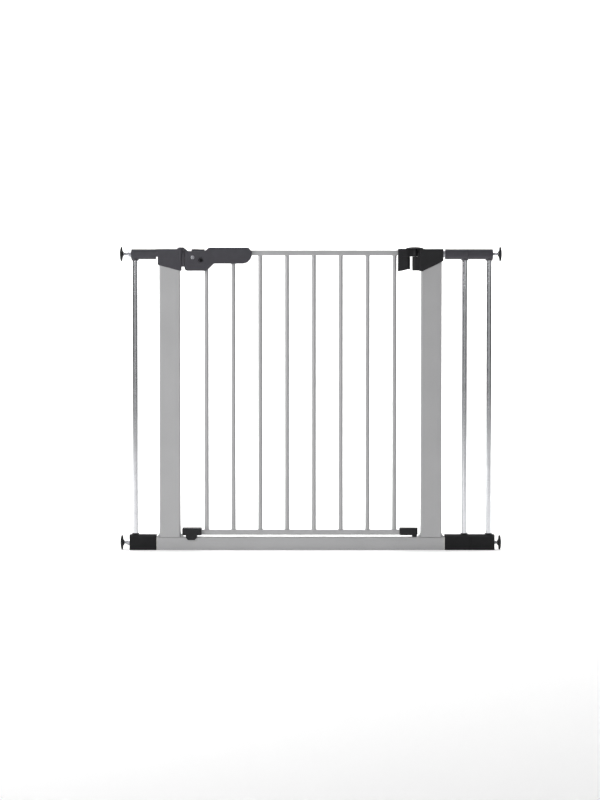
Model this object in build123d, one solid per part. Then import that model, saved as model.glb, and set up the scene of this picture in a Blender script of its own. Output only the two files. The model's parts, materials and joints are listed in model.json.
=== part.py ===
"""Pressure-fit safety gate: a steel U-frame with a lift-and-swing barred door, a sliding
catch in the handle, three clip-on extensions and four screw-out wall pads.

X runs along the gate, Y through it and Z up, in millimetres. The sub-parts are drawn with X = 0
midway between the posts, then moved so that X = 0 is midway between the two rows of wall pads.
Z = 0 is the floor.
"""
from build123d import *
import os

# ---- overall sizes ----
GATE_HEIGHT = 730.0          # floor to the top of the hinge dome
POST_SPACING = 629.0         # centre to centre
LEFT_PAD_OUT = 119.75        # from the middle of a post to the pad faces beyond it
RIGHT_PAD_OUT = 169.25

# ---- fits ----
PRESS = 0.05                 # radial or side gap of pieces fixed in each other
RUNNING = 0.05               # radial gap of pins in their bushes
NUT_GAP = 0.1
SEAT_GAP = 0.3               # resting gap under the hinge collar and round the stop
SWING_GAP = 0.5              # between the hinge knuckle and the cap that wraps it

# ---- frame tubes ----
RAIL_HEIGHT = 31.0
RAIL_DEPTH = 25.0
RAIL_PAST_POST = 8.0         # from a post's outer side to the rail's end
POST_WIDTH = 50.0
POST_DEPTH = 25.0
FRAME_WALL = 1.5
FRAME_CORNER = 3.0
GUSSET_WIDTH = 7.5
GUSSET_HEIGHT = 8.5
GUSSET_DEPTH = 18.0
PLUG_FLANGE = 2.5
PLUG_INSERT = 22.0

POST_IN = POST_SPACING / 2 - POST_WIDTH / 2
POST_OUT = POST_SPACING / 2 + POST_WIDTH / 2
RAIL_END = POST_OUT + RAIL_PAST_POST

# ---- caps on the posts ----
CAP_TOP = GATE_HEIGHT - 5.5
POST_TOP = CAP_TOP - 24.5
CAP_SIDE_WALL = 3.7
CAP_DOOR_WALL = 3.2
CAP_DEPTH_WALL = 3.0
CAP_EDGE_ROUND = 1.6
CAP_PIT_END_WALL = 12.0      # plastic that grips the joining spigot
CAP_SCREW_Z = CAP_TOP - 32.5
CAP_SCREW_LENGTH = 9.0
LATCH_CAP_LOW_OUT = CAP_TOP - 38.0   # lower edge at the wall side and at the door side
LATCH_CAP_LOW_IN = CAP_TOP - 52.5
LATCH_CAP_CORNER = 2.5
HINGE_CAP_LOW_OUT = CAP_TOP - 29.0
HINGE_CAP_LOW_IN = CAP_TOP - 53.5
HINGE_CAP_CORNER = 6.5
LATCH_ARM_BOTTOM = CAP_TOP - 18.5
LATCH_ARM_ROUND = 2.5
STRIKE_DEPTH = 6.7           # how far the strike stands out from the cap
STRIKE_RAMP = 11.0           # from the cap's door side back to where the strike's top starts
STRIKE_BOTTOM = CAP_TOP - 42.5
STRIKE_TOP = CAP_TOP + 4.0
STRIKE_NARROWER = 0.4        # on each side, than the cap
STRIKE_CORNER = 1.2
STRIKE_GROOVE = 2.2
STRIKE_GROOVE_DEPTH = 3.0
STRIKE_WINDOW_BOTTOM = CAP_TOP - 9.7
STRIKE_WINDOW_TOP = CAP_TOP - 4.3
STRIKE_WINDOW_DEPTH = 6.0
STRIKE_SLOT_FLOOR = CAP_TOP - 19.0
STRIKE_SLOT_SPARE = 3.3      # slot beyond the bolt's travel

CAP_IN = POST_IN - CAP_DOOR_WALL
CAP_OUT = POST_OUT + CAP_SIDE_WALL
CAP_HALF_DEPTH = POST_DEPTH / 2 + CAP_DEPTH_WALL
STRIKE_FACE = -CAP_IN + STRIKE_DEPTH

# ---- handle ----
HANDLE_GAP = 0.8             # handle's end to the strike
HANDLE_HALF_DEPTH = 15.0
HANDLE_WALL = 2.4
HANDLE_EDGE_ROUND = 2.0
GRIP_TOP = CAP_TOP + 3.5
GRIP_BOTTOM = GRIP_TOP - 38.6
GRIP_END_DROP = (8.0, 9.5)   # sloped corner at the grip's far end, along X and down
GRIP_NOSE_ROUND = 24.0
HANDLE_BODY_BOTTOM = GRIP_TOP - 55.8
HANDLE_BODY_LENGTH = 52.4
HANDLE_SLOPE_LENGTH = 18.1   # along X, from the deep body up to the grip
HANDLE_LENGTH = 161.8
HANDLE_DECK = GRIP_TOP - 8.2 # low top that the catch button stands above
DECK_START = 8.3
DECK_END = 49.3
DECK_RAMP = 9.3
RECESS_WALL = 1.8

HANDLE_END = STRIKE_FACE + HANDLE_GAP

# ---- door ----
BAR_COUNT = 8
BAR_MARGIN = 63.4            # from a post to the middle of the nearest bar
BAR_DIAMETER = 10.0
BAR_WALL = 1.0
DOOR_RAIL = 12.0             # square tube
DOOR_RAIL_WALL = 1.2
DOOR_RAIL_CORNER = 1.0
DOOR_BOTTOM = RAIL_HEIGHT + 5.2      # underside of the door's lower rail
DOOR_TOP = GRIP_TOP - 6.5            # top of the door's upper rail

DOOR_TOP_RAIL_BOTTOM = DOOR_TOP - DOOR_RAIL
DOOR_RAIL_TOP = DOOR_BOTTOM + DOOR_RAIL
FIRST_BAR = BAR_MARGIN - POST_IN
BAR_PITCH = -2 * FIRST_BAR / (BAR_COUNT - 1)

# ---- sliding catch ----
CATCH_TRAVEL = 7.5
CATCH_HALF_WIDTH = 4.5
CATCH_BOTTOM = GRIP_TOP - 19.0
CATCH_TOP = GRIP_TOP - 11.0
CATCH_REAR = 32.8            # from the handle's end
CATCH_LEG_START = 6.8
CATCH_LEG_END = 24.2
CATCH_LEG_BOTTOM = GRIP_TOP - 28.0
CATCH_NOSE = 1.5
BUTTON_HALF_WIDTH = 8.6
BUTTON_STEM_HALF_WIDTH = 6.0
BUTTON_START = 16.4
BUTTON_END = 48.2
BUTTON_TAIL_START = 38.3
BUTTON_TOP = GRIP_TOP - 3.8
BUTTON_OVER_RAIL = 0.4       # gap between the button's hollow tail and the door's upper rail
CATCH_PLAY = 0.3
RIVET_FROM_END = 19.6
RIVET_Z = GRIP_TOP - 23.6
RIVET_RADIUS = 2.5
RIVET_HEAD_RADIUS = 4.5
RIVET_HEAD_HEIGHT = 1.2
SPRING_RADIUS = 2.6
SPRING_WIRE = 0.7
SPRING_TURNS = 7
SPRING_POCKET_RADIUS = 3.2
SPRING_POCKET_DEPTH = 6.0
SPRING_RIB_FROM_END = 44.3
SPRING_RIB = 2.0
STRIKE_SLOT_REACH = CATCH_TRAVEL + STRIKE_SLOT_SPARE

# ---- handle screws ----
SCREW_RADIUS = 2.0
SCREW_HEAD_RADIUS = 3.6
SCREW_HEAD_HEIGHT = 2.2
SCREW_SLOT = 0.95
SCREW_BOSS_RADIUS = 4.5
HANDLE_SCREW_LENGTH = 16.0
FRONT_SCREW_FROM_END = 39.8
FRONT_SCREW_Z = GRIP_TOP - 30.5
RECESS_RADIUS = 6.7
RECESS_DEPTH = 4.0
GRIP_SCREWS_FROM_END = (80.0, 146.0)
GRIP_SCREW_Z = GRIP_TOP - 28.5

RIVET_X = HANDLE_END + RIVET_FROM_END
FRONT_SCREW_X = HANDLE_END + FRONT_SCREW_FROM_END

# ---- hinge ----
HINGE_FROM_POST = 14.5
PIN_RADIUS = 3.0
BUSH_WALL = 2.0
KNUCKLE_WALL = 1.6
LIFT = 12.0                  # how far the door rises to clear its stop
LIFT_TO_SPARE = 5.2          # lift left over once the stop is clear
UPPER_PIN_HELD = 16.0        # pin still in its bush when the door is up
LOWER_PIN_HELD = 11.0
THICK_HALF_DEPTH = 13.0
WING_NARROWER = 1.2
BRACKET_LENGTH = 40.7        # from the pin to the bracket's free end
BRACKET_THICK_FROM_PIN = 17.5
BRACKET_LIP_FROM_PIN = 14.4
BRACKET_RIGHT_FROM_PIN = 11.5
BRACKET_LOW_LEFT = CAP_TOP - 54.0
BRACKET_LOW_RIGHT = CAP_TOP - 49.0
BRACKET_FOOT = 9.0
ARM_TOP = CAP_TOP + 0.5
ARM_BOTTOM = CAP_TOP - 18.1
NOSE_GAP = 0.4
NOSE_BOTTOM = CAP_TOP - 51.9
NOSE_ROOT_ROUND = 2.4
SHROUD_HALF_DEPTH = 12.0
SHROUD_HOLLOW = (CAP_TOP - 10.5, CAP_TOP - 3.5)   # foot and head of the finger-shaped hollow
SHROUD_HOLLOW_HALF_DEPTH = 5.0
DOME_RADIUS = 21.0
DOME_RIM = 1.6
SHOE_OVER_RAIL = 4.8         # plastic above and below the door's lower rail
SHOE_UNDER_RAIL = 0.8
SHOE_SIDE_WALL = 3.0
SHOE_ROUND = 2.4
HINGE_SHOE_LENGTH = 36.4     # from the pin
COLLAR_WALL = 1.0

HINGE_X = POST_IN - HINGE_FROM_POST
BUSH_RADIUS = PIN_RADIUS + BUSH_WALL
KNUCKLE_RADIUS = BUSH_RADIUS + KNUCKLE_WALL
WEB_HALF_DEPTH = KNUCKLE_RADIUS - 0.8    # bracket near the pin, so that it swings past the cap
COLLAR_RADIUS = BUSH_RADIUS + COLLAR_WALL
HINGE_SHOE_KNUCKLE = COLLAR_RADIUS + KNUCKLE_WALL
NOSE_TOP = ARM_BOTTOM - NOSE_GAP
UPPER_PIN_BOTTOM = NOSE_TOP - LIFT - UPPER_PIN_HELD
LOWER_PIN_BOTTOM = RAIL_HEIGHT - LIFT - LOWER_PIN_HELD
BRACKET_LEFT = HINGE_X - BRACKET_LENGTH
BRACKET_THICK_END = HINGE_X - BRACKET_THICK_FROM_PIN
SHOE_TOP = DOOR_RAIL_TOP + SHOE_OVER_RAIL
SHOE_BOTTOM = DOOR_BOTTOM - SHOE_UNDER_RAIL
LOWER_PIN_TOP = SHOE_TOP - 3.0
HINGE_SHOE_LEFT = HINGE_X - HINGE_SHOE_LENGTH
HINGE_SHOE_HALF_DEPTH = DOOR_RAIL / 2 + SHOE_SIDE_WALL

# ---- stop shoe at the free end of the door ----
STOP_SHOE_FROM_POST = 4.5
STOP_SHOE_LENGTH = 46.4
STOP_CHEEK = 3.0
STOP_LUG = (8.7, 35.0)       # the lug's sides, from the shoe's end
STOP_LUG_TIP = (13.6, 30.0)
STOP_LUG_SHOULDER = RAIL_HEIGHT - 1.0

STOP_SHOE_LEFT = STOP_SHOE_FROM_POST - POST_IN
STOP_SHOE_RIGHT = STOP_SHOE_LEFT + STOP_SHOE_LENGTH
STOP_LUG_BOTTOM = RAIL_HEIGHT - (LIFT - LIFT_TO_SPARE)

# ---- spindles, pads and nuts ----
SPINDLE_RADIUS = 4.0         # M8
SPINDLE_TRAVEL = 40.0        # how far a spindle screws out
SPINDLE_HELD = 15.0          # still inside when it is right out
THREAD_PITCH = 1.25
GUIDE_LENGTH = 20.0
PAD_RADIUS = 17.35
PAD_OFF_FLOOR = 0.15
PAD_FLAT_RADIUS = 5.0
PAD_CROWN = 2.2
PAD_RIM = 3.4
PAD_DISH = 1.0
PAD_HUB_WALL = 1.6
PAD_HUB_FOOT = 3.0
PAD_LENGTH = 9.0
PAD_SOCKET_FLOOR = 3.0
NUT_ACROSS_FLATS = 13.0
NUT_HEX = 5.0
NUT_CORNER = 0.56            # radius to the turned corners, as a share of the flats
NUT_COLLAR_WALL = 1.6
NUT_COLLAR = 2.0
NUT_POCKET_ROOM = 0.6
NUT_POCKET_DEPTH = 6.5

# ---- extensions ----
LEFT_TUBE_SETOUT = 50.5      # from the rail's end to the tube
RIGHT_TUBE_SETOUT = 47.3
EXTENSION_PITCH = 58.6
TUBE_RADIUS = 6.35
TUBE_WALL = 1.0
UPPER_PAST_TUBE = 9.1        # connector's end beyond its tube
LOWER_PAST_TUBE = 14.1
UPPER_BOTTOM = CAP_TOP - 24.5
UPPER_HALF_DEPTH = 13.0
UPPER_ROUND = 9.5
UPPER_END_CHAMFER = 1.0
UPPER_COLLAR_DROP = 3.0
UPPER_COLLAR_CHAMFER = 1.2
LOWER_TOP = RAIL_HEIGHT + 6.0
LOWER_HALF_DEPTH = 15.0
LOWER_SHOULDER = 4.0
LOWER_END_CHAMFER = 0.8
LOWER_COLLAR_RISE = 3.0
LOWER_COLLAR_FLARE = 1.5
SOCKET_WALL = 2.6
UPPER_AXIS_Z = CAP_TOP - 11.9            # spindles and joining spigots
LOWER_AXIS_Z = PAD_RADIUS + PAD_OFF_FLOOR
SPIGOT_WALL = 2.5
SPIGOT_BORE = SPINDLE_RADIUS + 0.5
SPIGOT_RADIUS = SPIGOT_BORE + SPIGOT_WALL
SPIGOT_COLLAR = 1.5
SPIGOT_REACH = 19.5
TUBE_TO_BORE = 0.9           # plastic between a tube's end and the cross bore

NUT_CORNER_RADIUS = NUT_ACROSS_FLATS * NUT_CORNER
NUT_POCKET_RADIUS = NUT_CORNER_RADIUS + NUT_POCKET_ROOM

# ---- places worked out from the sizes above ----
LEFT_REACH = POST_SPACING / 2 + LEFT_PAD_OUT      # posts' middle to the pad faces
RIGHT_REACH = POST_SPACING / 2 + RIGHT_PAD_OUT
BOX_CENTRE = (RIGHT_REACH - LEFT_REACH) / 2
LEFT_TUBES = [-(RAIL_END + LEFT_TUBE_SETOUT)]
RIGHT_TUBES = [RAIL_END + RIGHT_TUBE_SETOUT, RAIL_END + RIGHT_TUBE_SETOUT + EXTENSION_PITCH]
UPPER_TUBE_END = UPPER_AXIS_Z - SPIGOT_RADIUS - TUBE_TO_BORE
LOWER_TUBE_END = LOWER_AXIS_Z + SPIGOT_RADIUS + TUBE_TO_BORE


# ---- drawing helpers ----
def block(x0, x1, y0, y1, z0, z1):
    """A box between two corners."""
    size = Box(x1 - x0, y1 - y0, z1 - z0)
    return Pos((x0 + x1) / 2, (y0 + y1) / 2, (z0 + z1) / 2) * size


def rod_x(x0, x1, radius, z, y=0.0):
    """A round rod along X."""
    return Pos((x0 + x1) / 2, y, z) * Rot(0, 90, 0) * Cylinder(radius, abs(x1 - x0))


def rod_y(y0, y1, radius, x, z):
    """A round rod along Y."""
    return Pos(x, (y0 + y1) / 2, z) * Rot(90, 0, 0) * Cylinder(radius, abs(y1 - y0))


def rod_z(z0, z1, radius, x, y=0.0):
    """A round rod along Z."""
    return Pos(x, y, (z0 + z1) / 2) * Cylinder(radius, abs(z1 - z0))


def slab(points, y0, y1):
    """A closed front-view outline of (x, z) points, given its depth from y0 to y1."""
    face = Plane.XZ * make_face(Polyline(*points, close=True))
    return Pos(0, y1, 0) * extrude(face, amount=y1 - y0)


def box_tube(length, width, height, wall, corner):
    """A rectangular tube along Z, from Z = 0, its section centred on the axis."""
    outer = RectangleRounded(width, height, corner)
    inner = RectangleRounded(width - 2 * wall, height - 2 * wall, max(corner - wall, 0.3))
    return extrude(outer - inner, amount=length)


def tube_along_x(x0, x1, depth, height, wall, corner, z):
    """A rectangular tube along X with its axis at height z."""
    tube = box_tube(x1 - x0, height, depth, wall, corner)
    return Pos(x0, 0, z) * Rot(0, 90, 0) * tube


def soften(part, radius, faces):
    """Round the edges that bound the given faces."""
    edges = ShapeList([edge for face in faces for edge in face.edges()])
    return fillet(edges, radius)


def front_and_back(part):
    """The foremost and the rearmost face."""
    return [part.faces().sort_by(Axis.Y)[0], part.faces().sort_by(Axis.Y)[-1]]


# ---- frame ----
def bottom_rail():
    end = RAIL_END - PLUG_FLANGE
    rail = tube_along_x(-end, end, RAIL_DEPTH, RAIL_HEIGHT, FRAME_WALL, FRAME_CORNER,
                        RAIL_HEIGHT / 2)
    bush_hole = rod_z(RAIL_HEIGHT / 2, RAIL_HEIGHT + 1, BUSH_RADIUS + PRESS, HINGE_X)
    return rail - bush_hole


def rail_end_plugs():
    plugs = []
    gap = FRAME_WALL + PRESS
    for side in (-1, 1):
        flange = Pos(side * (RAIL_END - PLUG_FLANGE), 0, RAIL_HEIGHT / 2) * Rot(0, side * 90, 0)
        disc = flange * extrude(RectangleRounded(RAIL_HEIGHT, RAIL_DEPTH, FRAME_CORNER),
                                amount=PLUG_FLANGE)
        insert = flange * extrude(
            RectangleRounded(RAIL_HEIGHT - 2 * gap, RAIL_DEPTH - 2 * gap, FRAME_CORNER / 2),
            amount=-PLUG_INSERT)
        bore = rod_x(side * (RAIL_END - PLUG_FLANGE - PLUG_INSERT - 1), side * (RAIL_END + 1),
                     SPIGOT_RADIUS + PRESS, LOWER_AXIS_Z)
        plugs.append(disc + insert - bore)
    return plugs


def post(side):
    centre = side * POST_SPACING / 2
    tube = Pos(centre, 0, RAIL_HEIGHT) * box_tube(
        POST_TOP - RAIL_HEIGHT, POST_WIDTH, POST_DEPTH, FRAME_WALL, FRAME_CORNER)
    screw_hole = rod_y(0, POST_DEPTH, SCREW_RADIUS + PRESS, centre, CAP_SCREW_Z)
    return tube - screw_hole


def foot_gussets():
    gussets = []
    for edge, way in ((-POST_OUT, -1), (-POST_IN, 1), (POST_IN, -1), (POST_OUT, 1)):
        tip = edge + way * GUSSET_WIDTH
        outline = [(edge, RAIL_HEIGHT), (tip, RAIL_HEIGHT), (edge, RAIL_HEIGHT + GUSSET_HEIGHT)]
        gussets.append(slab(outline, -GUSSET_DEPTH / 2, GUSSET_DEPTH / 2))
    return gussets


def post_pocket(side):
    """The room that a cap leaves for its post, and the hollow above it."""
    centre = side * POST_SPACING / 2
    half_width = POST_WIDTH / 2 + PRESS
    half_depth = POST_DEPTH / 2 + PRESS
    pocket = block(centre - half_width, centre + half_width, -half_depth, half_depth,
                   RAIL_HEIGHT, POST_TOP + PRESS)
    ends = sorted((side * (CAP_OUT - CAP_PIT_END_WALL), side * (POST_IN + CAP_PIT_END_WALL)))
    hollow = block(ends[0], ends[1], -half_depth, half_depth, POST_TOP - 1,
                   CAP_TOP - HANDLE_WALL)
    spigot = rod_x(side * (CAP_OUT + 10), side * (CAP_OUT - CAP_PIT_END_WALL - 1),
                   SPIGOT_RADIUS + PRESS, UPPER_AXIS_Z)
    screw_hole = rod_y(0, CAP_HALF_DEPTH + 1, SCREW_RADIUS + PRESS, centre, CAP_SCREW_Z)
    return pocket + hollow + spigot + screw_hole


def latch_post_cap():
    depth = CAP_HALF_DEPTH
    body = slab([(-CAP_OUT, CAP_TOP), (-CAP_IN, CAP_TOP), (-CAP_IN, LATCH_CAP_LOW_IN + 1),
                 (-CAP_IN - LATCH_CAP_CORNER, LATCH_CAP_LOW_IN), (-CAP_OUT, LATCH_CAP_LOW_OUT)],
                -depth, depth)
    body = soften(body, CAP_EDGE_ROUND, front_and_back(body))
    ramp = -CAP_IN - STRIKE_RAMP
    strike = slab([(ramp, CAP_TOP - 2), (ramp, CAP_TOP),
                   (ramp + STRIKE_TOP - CAP_TOP, STRIKE_TOP),
                   (STRIKE_FACE - STRIKE_CORNER, STRIKE_TOP),
                   (STRIKE_FACE, STRIKE_TOP - STRIKE_CORNER), (STRIKE_FACE, STRIKE_BOTTOM),
                   (-CAP_IN - 1, STRIKE_BOTTOM), (-CAP_IN - 1, CAP_TOP - 2)],
                  -depth + STRIKE_NARROWER, depth - STRIKE_NARROWER)
    arm = block(-RAIL_END, -CAP_OUT + 1, -UPPER_HALF_DEPTH, UPPER_HALF_DEPTH,
                LATCH_ARM_BOTTOM, CAP_TOP)
    arm = fillet(arm.edges().filter_by(Axis.X), LATCH_ARM_ROUND)
    bolt_slot = block(STRIKE_FACE - STRIKE_SLOT_REACH, STRIKE_FACE + 1,
                      -CATCH_HALF_WIDTH - CATCH_PLAY, CATCH_HALF_WIDTH + CATCH_PLAY,
                      STRIKE_SLOT_FLOOR, STRIKE_TOP + 1)
    cap = body + strike + arm - bolt_slot - post_pocket(-1)
    for way in (-1, 1):
        for x0, x1, z0, z1, cut in (
                (-CAP_IN, -CAP_IN + STRIKE_GROOVE, STRIKE_BOTTOM - 1, STRIKE_TOP - 2,
                 STRIKE_GROOVE_DEPTH),
                (-CAP_IN + STRIKE_GROOVE, STRIKE_FACE + 1, STRIKE_WINDOW_BOTTOM,
                 STRIKE_WINDOW_TOP, STRIKE_WINDOW_DEPTH)):
            sides = sorted((way * (depth - cut), way * (depth + 1)))
            cap -= block(x0, x1, sides[0], sides[1], z0, z1)
    return cap


def hinge_post_cap():
    depth = CAP_HALF_DEPTH
    body = slab([(CAP_IN, CAP_TOP), (CAP_OUT, CAP_TOP), (CAP_OUT, HINGE_CAP_LOW_OUT),
                 (CAP_IN + HINGE_CAP_CORNER, HINGE_CAP_LOW_IN), (CAP_IN, HINGE_CAP_LOW_IN + 1)],
                -depth, depth)
    body = soften(body, CAP_EDGE_ROUND, front_and_back(body))
    nose = rod_z(NOSE_BOTTOM, NOSE_TOP, KNUCKLE_RADIUS, HINGE_X)
    nose += block(HINGE_X, CAP_IN + 1, -KNUCKLE_RADIUS, KNUCKLE_RADIUS, NOSE_BOTTOM, NOSE_TOP)
    cap = body + nose
    roots = [edge for edge in cap.edges().filter_by(Axis.Z)
             if abs(edge.center().X - CAP_IN) < 0.01 and abs(abs(edge.center().Y)
                                                             - KNUCKLE_RADIUS) < 0.01]
    cap = fillet(roots, NOSE_ROOT_ROUND)
    cap += hinge_shroud()
    bore = rod_z(NOSE_BOTTOM - 1, NOSE_TOP + 1, BUSH_RADIUS + PRESS, HINGE_X)
    return cap - bore - post_pocket(1)


def hinge_shroud():
    """The cap's edge wrapped round the turning knuckle, with a finger-shaped hollow each side."""
    start = HINGE_X + WEB_HALF_DEPTH + SWING_GAP
    shroud = block(start, CAP_IN + 1, -SHROUD_HALF_DEPTH, SHROUD_HALF_DEPTH, NOSE_TOP - 1, CAP_TOP)
    shroud = fillet(shroud.faces().sort_by(Axis.X)[0].edges().filter_by(Axis.Z), NOSE_ROOT_ROUND)
    for way in (-1, 1):
        sides = sorted((way * SHROUD_HOLLOW_HALF_DEPTH, way * (SHROUD_HALF_DEPTH + 1)))
        shroud -= block(start - 1, CAP_IN, sides[0], sides[1], *SHROUD_HOLLOW)
    return shroud - rod_z(NOSE_TOP, CAP_TOP + 1, KNUCKLE_RADIUS + SWING_GAP, HINGE_X)


def screw(x, y_seat, z, way, shank, head_radius=SCREW_HEAD_RADIUS):
    """A pan-head screw: seated at y_seat, its head on the side given by way (-1 front)."""
    body = rod_y(y_seat - way * shank, y_seat, SCREW_RADIUS, x, z)
    head = rod_y(y_seat, y_seat + way * SCREW_HEAD_HEIGHT, head_radius, x, z)
    outer = head.faces().sort_by(Axis.Y)[0 if way < 0 else -1]
    head = fillet(outer.edges(), SCREW_HEAD_HEIGHT * 0.45)
    half = SCREW_SLOT / 2
    slot = block(x - head_radius, x + head_radius, -half, half, z - half, z + half)
    cross = slot + Pos(x, 0, z) * Rot(0, 90, 0) * Pos(-x, 0, -z) * slot
    return body + head - Pos(0, y_seat + way * SCREW_HEAD_HEIGHT, 0) * cross


def cap_screws():
    return [screw(side * POST_SPACING / 2, CAP_HALF_DEPTH, CAP_SCREW_Z, 1, CAP_SCREW_LENGTH)
            for side in (-1, 1)]


def hinge_bushes():
    hole = PIN_RADIUS + RUNNING
    bushes = []
    for z0, z1 in ((NOSE_BOTTOM, NOSE_TOP), (FRAME_WALL + PRESS, RAIL_HEIGHT)):
        bushes.append(rod_z(z0, z1, BUSH_RADIUS, HINGE_X) - rod_z(z0 - 1, z1 + 1, hole, HINGE_X))
    return bushes


# ---- extensions ----
def spigot(x0, x1, z):
    return rod_x(x0, x1, SPIGOT_RADIUS, z) - rod_x(x0 - 1, x1 + 1, SPIGOT_BORE, z)


def connector_ends(side, tubes, past):
    """Where the connectors on one side start and end, from the rail outwards."""
    starts = [side * RAIL_END] + [x + side * past for x in tubes[:-1]]
    return [(start, x + side * past) for start, x in zip(starts, tubes)]


UPPER_SPANS = {-1: connector_ends(-1, LEFT_TUBES, UPPER_PAST_TUBE),
               1: connector_ends(1, RIGHT_TUBES, UPPER_PAST_TUBE)}
LOWER_SPANS = {-1: connector_ends(-1, LEFT_TUBES, LOWER_PAST_TUBE),
               1: connector_ends(1, RIGHT_TUBES, LOWER_PAST_TUBE)}


def joining_spigots(spans, z, collar):
    """Hollow pegs that join each connector to what is before it."""
    pegs = []
    for side, ends in spans.items():
        for start, _ in ends:
            pegs.append(spigot(*sorted((start - side * SPIGOT_REACH, start + side * SPIGOT_REACH)),
                               z))
    if collar:
        gap = sorted((CAP_OUT + NUT_GAP, RAIL_END))
        ring = rod_x(gap[0], gap[1], SPIGOT_RADIUS + SPIGOT_COLLAR, z)
        ring -= rod_x(gap[0] - 1, gap[1] + 1, SPIGOT_BORE, z)
        pegs[1] += ring
    return pegs


def upper_connector(span, tube_x, last):
    """A rounded plastic arm with a cross bore, and a socket below for its tube."""
    x0, x1 = sorted(span)
    side = 1 if x0 > 0 else -1
    height = CAP_TOP - UPPER_BOTTOM
    section = RectangleRounded(height, 2 * UPPER_HALF_DEPTH, UPPER_ROUND)
    arm = Pos(x0, 0, UPPER_BOTTOM + height / 2) * Rot(0, 90, 0) * extrude(section, amount=x1 - x0)
    outer = arm.faces().sort_by(Axis.X)[-1 if side > 0 else 0]
    arm = chamfer(outer.edges(), UPPER_END_CHAMFER)
    collar = rod_z(UPPER_BOTTOM - UPPER_COLLAR_DROP, UPPER_BOTTOM + 6,
                   TUBE_RADIUS + SOCKET_WALL, tube_x)
    collar = chamfer(collar.faces().sort_by(Axis.Z)[0].edges(), UPPER_COLLAR_CHAMFER)
    part = arm + collar
    part -= rod_x(x0 - 1, x1 + 1, SPIGOT_RADIUS + PRESS, UPPER_AXIS_Z)
    part -= rod_z(UPPER_BOTTOM - 10, UPPER_TUBE_END + PRESS, TUBE_RADIUS + PRESS, tube_x)
    if last and side > 0:
        part -= rod_x(x1 - NUT_POCKET_DEPTH, x1 + 1, NUT_POCKET_RADIUS, UPPER_AXIS_Z)
    return part


def lower_connector(span, tube_x, last):
    """A floor block with sloped shoulders, a cross bore, and a socket above for its tube."""
    x0, x1 = sorted(span)
    side = 1 if x0 > 0 else -1
    half = LOWER_HALF_DEPTH
    section = Polyline((0, -half), (-LOWER_TOP + LOWER_SHOULDER, -half),
                       (-LOWER_TOP, -half + LOWER_SHOULDER), (-LOWER_TOP, half - LOWER_SHOULDER),
                       (-LOWER_TOP + LOWER_SHOULDER, half), (0, half), close=True)
    body = Pos(x0, 0, 0) * Rot(0, 90, 0) * extrude(make_face(section), amount=x1 - x0)
    outer = body.faces().sort_by(Axis.X)[-1 if side > 0 else 0]
    body = chamfer(outer.edges().sort_by(Axis.Z)[1:], LOWER_END_CHAMFER)
    collar = Pos(tube_x, 0, LOWER_TOP + LOWER_COLLAR_RISE / 2 - 0.5) * Cone(
        TUBE_RADIUS + SOCKET_WALL + LOWER_COLLAR_FLARE, TUBE_RADIUS + SOCKET_WALL / 2,
        LOWER_COLLAR_RISE + 1)
    part = body + collar
    part -= rod_x(x0 - 1, x1 + 1, SPIGOT_RADIUS + PRESS, LOWER_AXIS_Z)
    part -= rod_z(LOWER_TUBE_END - PRESS, LOWER_TOP + 10, TUBE_RADIUS + PRESS, tube_x)
    if last and side > 0:
        part -= rod_x(x1 - NUT_POCKET_DEPTH, x1 + 1, NUT_POCKET_RADIUS, LOWER_AXIS_Z)
    return part


def extension_tube(x):
    return (rod_z(LOWER_TUBE_END, UPPER_TUBE_END, TUBE_RADIUS, x)
            - rod_z(LOWER_TUBE_END - 1, UPPER_TUBE_END + 1, TUBE_RADIUS - TUBE_WALL, x))


# ---- spindles ----
def spindle_places():
    """Name, side, height and connector end of each of the four spindles."""
    places = []
    for level, z, spans in (("upper", UPPER_AXIS_Z, UPPER_SPANS),
                            ("lower", LOWER_AXIS_Z, LOWER_SPANS)):
        for word, side in (("left", -1), ("right", 1)):
            places.append((f"{level}_{word}", side, z, spans[side][-1][1]))
    return places


def pad_face(side):
    return side * (RIGHT_REACH if side > 0 else LEFT_REACH)


def nut_seat(side, end):
    """Where the nut's inner face bears: in a pocket on the right, on the end face on the left."""
    pocket = NUT_POCKET_DEPTH if side > 0 else 0.0
    return end - side * pocket


def spindle_guides():
    guides = []
    for _, side, z, end in spindle_places():
        outer = nut_seat(side, end)
        x0, x1 = sorted((outer - side * GUIDE_LENGTH, outer))
        hole = rod_x(x0 - 1, x1 + 1, SPINDLE_RADIUS + RUNNING, z)
        guides.append(rod_x(x0, x1, SPIGOT_RADIUS, z) - hole)
    return guides


def spindle_rod(side, z, end):
    tip = pad_face(side) - side * PAD_SOCKET_FLOOR
    inside = SPINDLE_TRAVEL + SPINDLE_HELD
    rod = rod_x(*sorted((end - side * inside, tip)), SPINDLE_RADIUS, z)
    inner = rod.faces().sort_by(Axis.X)[0 if side > 0 else -1]
    return chamfer(inner.edges(), THREAD_PITCH * 0.6)


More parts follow.
